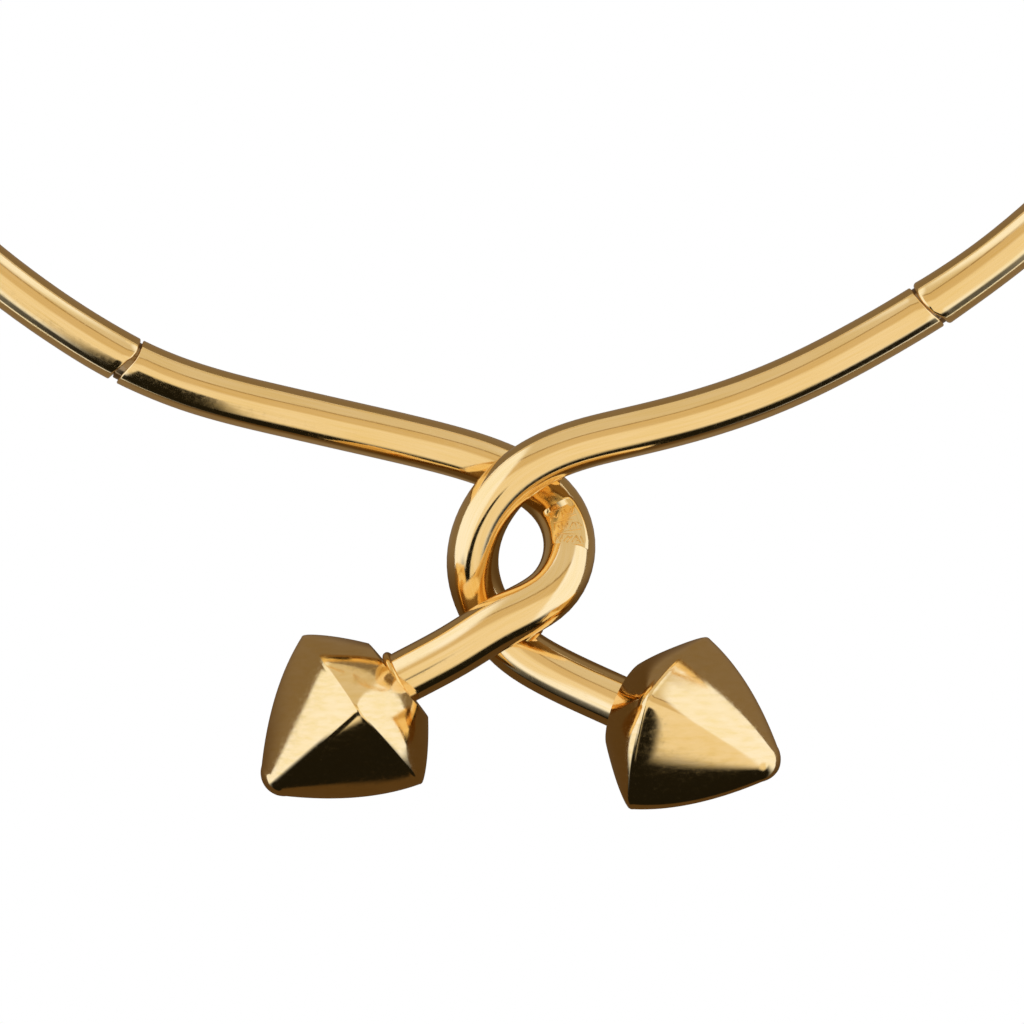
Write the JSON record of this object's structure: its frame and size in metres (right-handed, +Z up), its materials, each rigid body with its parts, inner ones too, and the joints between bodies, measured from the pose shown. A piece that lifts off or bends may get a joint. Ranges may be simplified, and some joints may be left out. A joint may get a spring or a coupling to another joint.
{
  "type": "torc necklace",
  "caption": "Polished gold torc necklace: tube arms that cross in a small loop and end in pyramid terminals, each hinged to a collar that runs round the neck to an open back",
  "frame": {"origin": "on the table under the middle of the torc's footprint", "axes": "+Z up out of the table, +Y from the terminals to the open back, +X to the viewer's right as the front is looked at from above"},
  "size_m": [0.1362, 0.1626, 0.0149],
  "materials": {
    "polished_gold": "mirror polished 18 carat yellow gold"
  },
  "bodies": {
    "front": {"left_arm": "polished_gold", "right_arm": "polished_gold", "left_terminal": "polished_gold", "right_terminal": "polished_gold"},
    "left_side": {"left_collar": "polished_gold", "left_hinge_pin": "polished_gold"},
    "right_side": {"right_collar": "polished_gold", "right_hinge_pin": "polished_gold"}
  },
  "joints": [
    {"name": "left_hinge", "type": "hinge", "parent": "front", "child": "left_side", "pos_m": [-0.02882, -0.0441, 0.00548], "axis": [0, 0.0281, 0.9996], "range_deg": [0, 12]},
    {"name": "right_hinge", "type": "hinge", "parent": "front", "child": "right_side", "pos_m": [0.03648, -0.04137, 0.00541], "axis": [0, -0.0281, -0.9996], "range_deg": [0, 12]}
  ]
}
